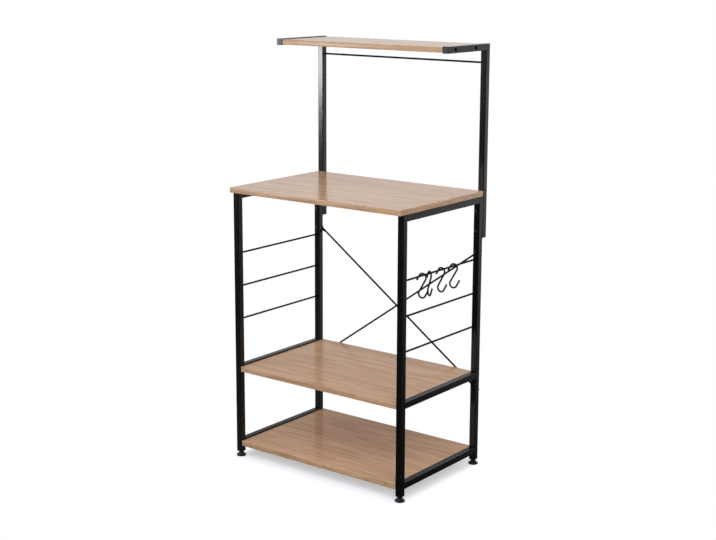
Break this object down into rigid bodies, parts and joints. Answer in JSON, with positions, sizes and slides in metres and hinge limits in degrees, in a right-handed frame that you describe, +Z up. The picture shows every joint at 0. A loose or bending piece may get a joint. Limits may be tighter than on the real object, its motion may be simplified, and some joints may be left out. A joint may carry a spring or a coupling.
{
  "type": "kitchen shelving unit",
  "caption": "Free-standing kitchen rack of black square tube with light oak boards: worktop, lower shelves, a raised rear shelf, side rods with hooks and a crossed rod brace at the back.",
  "frame": {"origin": "on the floor, midway across the side frames and midway between the worktop's front edge and the back of the uprights", "axes": "+Z up, +X to the right seen from the front, +Y from the front to the back"},
  "size_m": [0.6159, 0.4255, 1.22],
  "materials": {
    "black_powder_coat": "satin black powder coat with a fine texture",
    "oak_melamine": "satin melamine face with a light oak print, grain along X",
    "black_plastic": "moulded black plastic, satin",
    "blackened_steel": "black zinc, satin",
    "zinc_plated_steel": "bright zinc plate",
    "hook_wire": "glossy black coated wire"
  },
  "bodies": {
    "frame": {"bottom_shelf": "oak_melamine", "bottom_shelf_screws": "zinc_plated_steel", "bottom_shelf_tabs": "black_powder_coat", "brace_bolts": "blackened_steel", "brace_nuts": "blackened_steel", "brace_rod_bowed": "black_powder_coat", "brace_rod_straight": "black_powder_coat", "hutch_bolts": "blackened_steel", "hutch_nuts": "blackened_steel", "left_arm": "black_powder_coat", "left_arm_cap": "black_plastic", "left_bottom_rail": "black_powder_coat", "left_front_leg_plug": "black_plastic", "left_front_post": "black_powder_coat", "left_lower_rod": "black_powder_coat", "left_middle_rail": "black_powder_coat", "left_middle_rod": "black_powder_coat", "left_rear_leg_plug": "black_plastic", "left_rear_post": "black_powder_coat", "left_top_rail": "black_powder_coat", "left_upper_rod": "black_powder_coat", "left_upright": "black_powder_coat", "left_upright_cap": "black_plastic", "middle_shelf": "oak_melamine", "middle_shelf_screws": "zinc_plated_steel", "middle_shelf_tabs": "black_powder_coat", "right_arm": "black_powder_coat", "right_arm_cap": "black_plastic", "right_bottom_rail": "black_powder_coat", "right_front_leg_plug": "black_plastic", "right_front_post": "black_powder_coat", "right_lower_rod": "black_powder_coat", "right_middle_rail": "black_powder_coat", "right_middle_rod": "black_powder_coat", "right_rear_leg_plug": "black_plastic", "right_rear_post": "black_powder_coat", "right_top_rail": "black_powder_coat", "right_upper_rod": "black_powder_coat", "right_upright": "black_powder_coat", "right_upright_cap": "black_plastic", "tie_rod": "black_powder_coat", "top_shelf": "oak_melamine", "top_shelf_bolts": "blackened_steel", "top_shelf_inserts": "zinc_plated_steel", "worktop": "oak_melamine", "worktop_screws": "zinc_plated_steel"},
    "left_front_foot": {"left_front_foot_pad": "black_plastic"},
    "left_front_stud": {"left_front_foot_stud": "zinc_plated_steel"},
    "left_rear_foot": {"left_rear_foot_pad": "black_plastic"},
    "left_rear_stud": {"left_rear_foot_stud": "zinc_plated_steel"},
    "right_front_foot": {"right_front_foot_pad": "black_plastic"},
    "right_front_stud": {"right_front_foot_stud": "zinc_plated_steel"},
    "right_rear_foot": {"right_rear_foot_pad": "black_plastic"},
    "right_rear_stud": {"right_rear_foot_stud": "zinc_plated_steel"},
    "hook_1": {"hook_1": "hook_wire"},
    "hook_2": {"hook_2": "hook_wire"},
    "hook_3": {"hook_3": "hook_wire"},
    "hook_4": {"hook_4": "hook_wire"}
  },
  "joints": [
    {"name": "left_front_foot_height", "type": "slide", "parent": "frame", "child": "left_front_foot", "axis": [0, 0, -1], "range_m": [0, 0.01]},
    {"name": "left_front_stud_turn", "type": "hinge", "parent": "left_front_foot", "child": "left_front_stud", "pos_m": [-0.2905, -0.185, 0], "axis": [0, 0, -1], "range_deg": [0, 2880]},
    {"name": "left_rear_foot_height", "type": "slide", "parent": "frame", "child": "left_rear_foot", "axis": [0, 0, -1], "range_m": [0, 0.01]},
    {"name": "left_rear_stud_turn", "type": "hinge", "parent": "left_rear_foot", "child": "left_rear_stud", "pos_m": [-0.2905, 0.181, 0], "axis": [0, 0, -1], "range_deg": [0, 2880]},
    {"name": "right_front_foot_height", "type": "slide", "parent": "frame", "child": "right_front_foot", "axis": [0, 0, -1], "range_m": [0, 0.01]},
    {"name": "right_front_stud_turn", "type": "hinge", "parent": "right_front_foot", "child": "right_front_stud", "pos_m": [0.2905, -0.185, 0], "axis": [0, 0, -1], "range_deg": [0, 2880]},
    {"name": "right_rear_foot_height", "type": "slide", "parent": "frame", "child": "right_rear_foot", "axis": [0, 0, -1], "range_m": [0, 0.01]},
    {"name": "right_rear_stud_turn", "type": "hinge", "parent": "right_rear_foot", "child": "right_rear_stud", "pos_m": [0.2905, 0.181, 0], "axis": [0, 0, -1], "range_deg": [0, 2880]},
    {"name": "hook_1_swing", "type": "hinge", "parent": "frame", "child": "hook_1", "pos_m": [0.2905, -0.09083, 0.614], "axis": [0, 1, 0], "range_deg": [-75, 75]},
    {"name": "hook_2_swing", "type": "hinge", "parent": "frame", "child": "hook_2", "pos_m": [0.2905, -0.05752, 0.614], "axis": [0, 1, 0], "range_deg": [-75, 75]},
    {"name": "hook_3_swing", "type": "hinge", "parent": "frame", "child": "hook_3", "pos_m": [0.2905, -0.00061, 0.614], "axis": [0, 1, 0], "range_deg": [-75, 75]},
    {"name": "hook_4_swing", "type": "hinge", "parent": "frame", "child": "hook_4", "pos_m": [0.2905, 0.06046, 0.614], "axis": [0, 1, 0], "range_deg": [-75, 75]}
  ],
  "couplings": [
    {"joint": "left_front_stud_turn", "follows": "left_front_foot_height", "rad_per_m": 5026.5},
    {"joint": "left_rear_stud_turn", "follows": "left_rear_foot_height", "rad_per_m": 5026.5},
    {"joint": "right_front_stud_turn", "follows": "right_front_foot_height", "rad_per_m": 5026.5},
    {"joint": "right_rear_stud_turn", "follows": "right_rear_foot_height", "rad_per_m": 5026.5}
  ]
}
